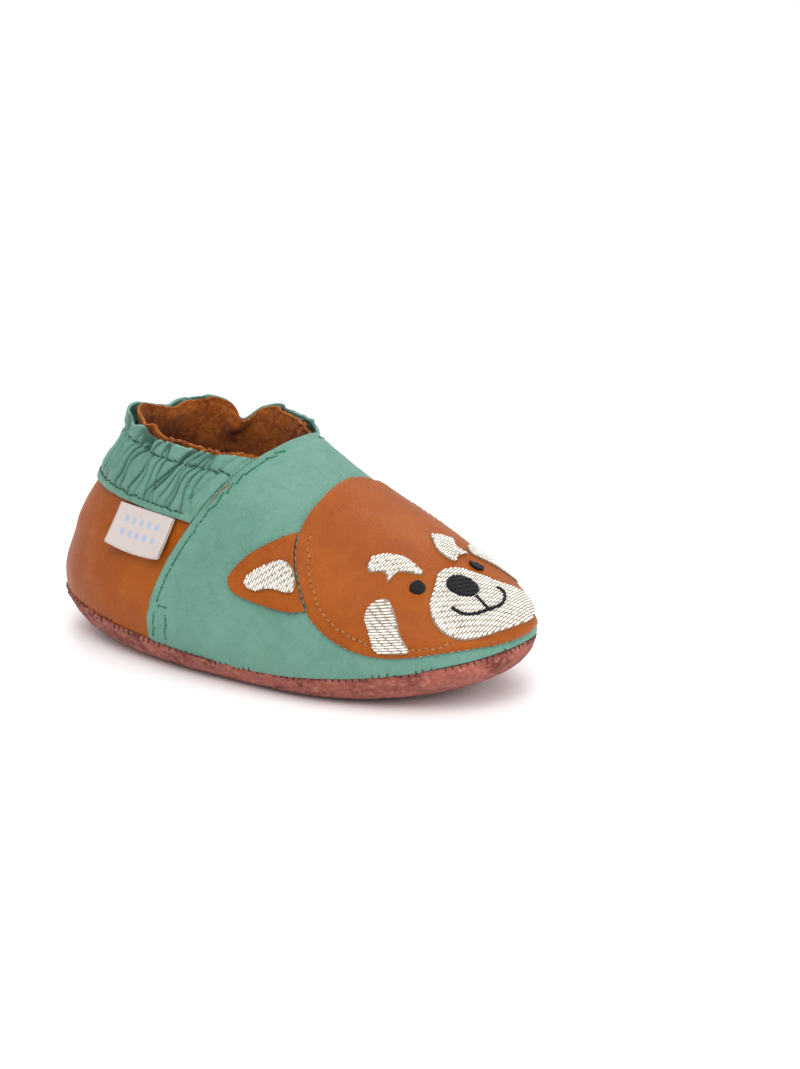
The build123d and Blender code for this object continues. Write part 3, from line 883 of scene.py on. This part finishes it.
def stretchAs(piece, slot, *replaced):
    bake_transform(piece)
    if replaced:
        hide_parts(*replaced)


def makeCollar():
    # Only the leather band gets the painted shade in its folds
    leatherBand = collarBand("collarLeather", "collar_outer", ("vamp",), collar["thickness"],
                             greenLeather, outerCollar, collar["columns"], collar["rows"], True)
    liningBand = collarBand("collarLiningSuede", "collar_lining", ("vamp_lining",), 0.7 * mm,
                            liningSuede, liningShape, 360, 26)
    elasticBand = collarBand("ankleElasticWeb", "ankle_elastic", ("vamp_lining",), 0.5 * mm,
                             elasticWeb, elasticShape, 240, 8)
    stretchAs(leatherBand, "green_leather", "collar_outer")
    stretchAs(liningBand, "brown_suede", "collar_lining")
    stretchAs(elasticBand, "elastic", "ankle_elastic")
    return leatherBand


collarLeather = makeCollar()
collarSurface = treeFromObjects(collarLeather)
print("collar made")

# Heel quarter: tan leather cupped round the heel, its edges under the vamp and the collar
quarter = {"columns": 300, "rows": 50, "thickness": 0.8 * mm, "soft": 0.3 * mm,
           "middle": (-0.03, 0, 0), "top": 0.0425, "wrap": 132, "sample": 4, "farthest": 2.2,
           "step": 0.02, "short": 0.05}


def makeQuarter():
    own = searchTree("heel_quarter")
    layer = searchTree("heel_quarter", "vamp_lining")
    middle = Vector(quarter["middle"])
    wrap, sample, step = quarter["wrap"], quarter["sample"], quarter["step"]

    def edges(angle):
        direction = Vector((math.cos(angle), math.sin(angle), 0))
        heights = [0.0002 * level for level in range(20, 225)]
        hits = [h for h in heights if outerHit(layer, Vector((middle.x, 0, h)), direction)]
        return hits[0] + 0.0001, min(hits[-1], quarter["top"])

    finished = []
    samples = [edges(math.pi + math.radians(turn)) for turn in range(-wrap, wrap + 1, sample)]

    def heightAt(angle, up):
        place = min(max((math.degrees(angle) - 180 + wrap) / sample, 0), len(samples) - 1.001)
        index, part = int(place), place % 1
        low = samples[index][0] * (1 - part) + samples[index + 1][0] * part
        high = samples[index][1] * (1 - part) + samples[index + 1][1] * part
        return low + (high - low) * up

    for row in range(quarter["rows"] + 1):
        up = row / quarter["rows"]
        reach = []
        for sign in (-1, 1):
            angle = math.pi
            while abs(angle - math.pi) < quarter["farthest"] and outerHit(
                own, Vector((middle.x, 0, heightAt(angle + sign * step, up))),
                Vector((math.cos(angle + sign * step), math.sin(angle + sign * step), 0)),
            ):
                angle += sign * step
            reach.append(angle - sign * quarter["short"])
        line = []
        for column in range(quarter["columns"] + 1):
            share = column / quarter["columns"]
            angle = reach[0] + (reach[1] - reach[0]) * share
            direction = Vector((math.cos(angle), math.sin(angle), 0))
            point, normal = outerHit(
                layer, Vector((middle.x, 0, heightAt(angle, up))), direction
            )
            out = quarter["soft"] * noise.noise(point * 70) * smoothStep(up, 0, 0.15)
            out += 0.35 * quarter["soft"] * noise.noise(point * 210)
            out *= smoothStep(min(share, 1 - share), 0, 0.12)
            line.append(point + normal * (out * (1 - smoothStep(up, 0.8, 0.95))))
        finished.append(line)
    return bandPiece("quarterLeather", finished, quarter["thickness"], tanLeather)


quarterLeather = makeQuarter()
stretchAs(quarterLeather, "tan_leather", "heel_quarter")
print("heel made")

# Label: a folded loop of woven ribbon
label = {"width": 19 * mm, "drop": 9.3 * mm, "tuck": 1.6 * mm, "ply": 0.28 * mm, "gap": 0.35 * mm,
         "steps": 60, "columns": 24, "sag": 0.7 * mm, "bow": 0.9 * mm}


def makeLabel():
    joint = next(j for j in frame["joints"] if j["name"] == "label_fold")
    top, along = Vector(joint["pos_m"]), -Vector(joint["axis"]).normalized()
    widest = max(nodes["label"].data.polygons, key=lambda face: face.area)
    outward = Vector(widest.normal) if widest.normal.y < 0 else -Vector(widest.normal)
    down = along.cross(outward)
    down = down if down.z < 0 else -down
    drop = label["drop"] + label["tuck"]
    hinge, top = top, top - down * label["tuck"]
    radius = label["gap"] / 2 + label["ply"] / 2
    path = []
    for step in range(label["steps"] + 1):  # down the back, round the fold, up the front
        travel = step / label["steps"] * (2 * drop)
        back = travel < drop
        level = travel if back else 2 * drop - travel
        side = -radius if back else radius
        if drop - level < radius:
            turn = math.acos(min(1, max(-1, 1 - (radius - (drop - level)) / radius)))
            side = side * math.cos(turn * 0.98)
        path.append((level, side))
    rows = []
    for level, side in path:
        row = []
        for column in range(label["columns"] + 1):
            share = column / label["columns"] - 0.5
            level01 = level / drop
            bow = label["bow"] * (4 * share * share - 0.4) * level01 ** 2
            bow += 0.2 * mm * math.sin(share * 9 + 1) * level01
            point = top + outward * (side + bow) + along * (share * label["width"])
            row.append(point + down * (level + label["sag"] * level01 * (1 - 4 * share * share)))
        rows.append(row)
    columns = len(rows[0])
    points = [point for row in rows for point in row]
    piece = meshObject("labelRibbon", points, gridFaces(len(rows), columns), labelRibbon)
    uv = piece.data.uv_layers.new(name="cloth")
    for loop in piece.data.loops:
        row, column = divmod(loop.vertex_index, columns)
        uv.data[loop.index].uv = (column / (columns - 1), row / (len(rows) - 1))
    solid = piece.modifiers.new("wall", "SOLIDIFY")
    solid.thickness, solid.offset = label["ply"] * 0.7, 0
    frozen(piece)
    tuple(hinge - down * 0.9 * mm)
    tuple(hinge + down * 1.3 * mm)
    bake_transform(piece)
    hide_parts("label")


makeLabel()
print("label made")

# Sewing rows take their places from the frame and settle on the finished leather
faceSurface = treeFromObjects(facePiece)
sewing = {"perStitch": 2, "pitch": 3.3 * mm, "length": 1.42 * mm, "hole": 0.34 * mm,
          "longest": 2.3 * mm, "middle": (0, 0, 0.015), "above": 3 * mm, "search": 8 * mm}


def divided(stitches, upright=False):
    # Each stitch of the frame stands for two real ones, with a near-black mark between them:
    # painted shade in the needle hole
    threads, holeShades = [], []
    step = sewing["pitch"] / sewing["perStitch"]
    for place, along, up, size in stitches:
        row = up.cross(along) if upright else along
        for index in range(sewing["perStitch"]):
            shift = (index - (sewing["perStitch"] - 1) / 2) * step
            threads.append((place + row * shift, along, up, sewing["length"]))
            holeShades.append((place + row * (shift + step / 2), along, up, sewing["hole"]))
    return threads, holeShades


seams = {
    "vampRow": ("vamp_topstitch", vampSurface, 0.62, 0.5, greenThread, "green_thread"),
    "bartackRightThread": ("bartack_right", vampSurface, 0.62, 0.5, greenThread, "green_thread"),
    "bartackLeftThread": ("bartack_left", vampSurface, 0.62, 0.5, greenThread, "green_thread"),
    "faceRow": ("face_topstitch", faceSurface, 0.46, 0.4, tanThread, "brown_thread"),
    "collarTopRow": ("collar_top_stitch", collarSurface, 0.58, 0.5, darkGreenThread,
                     "dark_green_thread"),
    "collarBottomRow": ("collar_bottom_stitch", collarSurface, 0.58, 0.5, darkGreenThread,
                        "dark_green_thread"),
}
for name, (node, surface, width, height, material, slot) in seams.items():
    threads, holeShades = divided(cadStitches(node))
    row = stitchPiece(name, settled(threads, surface, 0.02 * mm), width * mm, height * mm, material)
    # the marks between the stitches are painted shade in the needle holes
    holeShadeMarks = stitchPiece(name + "Holes", settled(holeShades, surface, -0.02 * mm), 0.42 * mm, 0.16 * mm,
                        needleHoleShade)
    if name.startswith("collar"):
        stretchAs(row, slot, node)
        stretchAs(holeShadeMarks, slot)
    else:
        rideAs(row, "upper", slot, node)
        rideAs(holeShadeMarks, "upper", slot)
lowerSurface = treeFromObjects(outsoleSuede, vampLeather, quarterLeather)
soleThreads, _ = divided(cadStitches("sole_seam_thread"), upright=True)
soleThreads = [(p - a * 0.35 * mm, a, u, 1.5 * mm) for p, a, u, _ in soleThreads]
rideAs(stitchPiece("soleSeamThread", settled(soleThreads, lowerSurface, -0.05 * mm), 0.42 * mm,
                   0.42 * mm, brownThread), "upper", "brown_thread", "sole_seam_thread")
print("sewing rows made")

# Embroidery: fill stitches in rows over the frame's flat patches, which stay as the padding
faceTilt = math.radians(30)
facePlane = (Vector((0, 1, 0)), Vector((-math.cos(faceTilt), 0, math.sin(faceTilt))),
             Vector((math.sin(faceTilt), 0, math.cos(faceTilt))))
sidePlanes = {-1: (Vector((1, 0, 0)), Vector((0, 0, 1)), Vector((0, -1, 0))),
              1: (Vector((1, 0, 0)), Vector((0, 0, 1)), Vector((0, 1, 0)))}


def fillStitches(node, plane, angle, spacing, length, seed):
    tree = searchTree(node)
    low, high = (Vector(c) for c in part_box(node))
    centre, reach = (low + high) / 2, (high - low).length / 2
    right, upward, normal = plane
    turn = math.radians(angle)
    along = right * math.cos(turn) + upward * math.sin(turn)
    across = upward * math.cos(turn) - right * math.sin(turn)
    noise.seed_set(seed)
    stitches, step = [], 0.15 * mm
    rows = int(2 * reach / spacing)
    for row in range(rows + 1):
        offset = across * (row * spacing - reach)
        run, shift = [], (row % 3) * length / 3
        count = int(2 * reach / step)
        for index in range(count + 2):
            start = centre + offset + along * (index * step - reach) + normal * 0.04
            hit = tree.ray_cast(start, -normal, 0.08)
            inside = hit[0] is not None and hit[1].dot(normal) > 0.12
            full = run and (run[-1][0] - run[0][0]).length > length
            brick = run and (index * step + shift) % length < step
            if run and (not inside or full or brick):
                if len(run) > 3:
                    (a, up, _, _), (b, _, _, _) = run[0], run[-1]
                    edges = (noise.random() * 0.5, noise.random() * 0.5)  # uneven stitch ends
                    way = (b - a).normalized()
                    a, b = a - way * edges[0] * 0.5 * mm, b + way * edges[1] * 0.5 * mm
                    stitches.append(
                        ((a + b) / 2 + up * 0.1 * mm, way, up, (b - a).length + 0.1 * mm))
                run = []
            if inside:
                run.append(hit)
    return stitches


patches = {
    "muzzle": (facePlane, 6, 0.66, 2.3, whiteThread, "white_thread", 0.6),
    "nose": (facePlane, 8, 0.5, 2.6, blackThread, "black_thread", 0.5),
    "mouth": (facePlane, 60, 0.4, 1.6, blackThread, "black_thread", 0.4),
    "eye_right": (facePlane, 20, 0.45, 3.0, blackThread, "black_thread", 0.45),
    "eye_left": (facePlane, 20, 0.45, 3.0, blackThread, "black_thread", 0.45),
    "brow_right": (facePlane, 4, 0.62, 2.4, whiteThread, "white_thread", 0.56),
    "brow_left": (facePlane, 4, 0.62, 2.4, whiteThread, "white_thread", 0.56),
    "cheek_right": (sidePlanes[-1], 6, 0.62, 2.2, whiteThread, "white_thread", 0.56),
    "cheek_left": (facePlane, 6, 0.62, 2.2, whiteThread, "white_thread", 0.56),
    "ear_embroidery_right": (sidePlanes[-1], 78, 0.62, 2.4, whiteThread, "white_thread", 0.56),
    "ear_embroidery_left": (sidePlanes[1], 78, 0.62, 2.4, whiteThread, "white_thread", 0.56),
}
for index, (node, (plane, angle, spacing, length, material, slot, width)) in enumerate(
    patches.items()
):
    # White patches get the dull brown padding colour: painted shade between the stitches
    nodes[node].data.materials.clear()
    nodes[node].data.materials.append(underlayGapShade if material == whiteThread else material)
    fill = fillStitches(node, plane, angle, spacing * mm, length * mm, 20 + index)
    piece = stitchPiece(node + "_fill", fill, width * mm, 0.36 * mm, material, seed=index)
    rideAs(piece, "upper", slot)


# The fine row that holds the edges of the face and ears
edgeSewing = {"pitch": 1.9 * mm, "length": 1.25 * mm, "thick": 0.36 * mm, "lift": 0.45 * mm,
              "near": 2.5 * mm}


def edgeRow(edge):
    stitches, travelled, due = [], 0.0, 0.0
    for start, end in zip(edge, edge[1:] + edge[:1]):
        run = (end - start).length
        while run and due < travelled + run:
            place = start.lerp(end, (due - travelled) / run)
            hit = vampSurface.find_nearest(place)
            if hit[0] and (hit[0] - place).length < edgeSewing["near"]:
                up = (place - hit[0]).normalized()
                stitches.append((hit[0] + up * edgeSewing["lift"], (end - start).normalized(), up,
                                 edgeSewing["length"]))
            due += edgeSewing["pitch"]
        travelled += run
    return stitches


edgeStitches = edgeRow(faceEdge)
for _, earEdge in ears.values():
    edgeStitches += edgeRow(earEdge)
rideAs(stitchPiece("appliqueEdgeThread", edgeStitches, edgeSewing["thick"], edgeSewing["thick"],
                   greyThread), "upper", "brown_thread")
print("embroidery made")
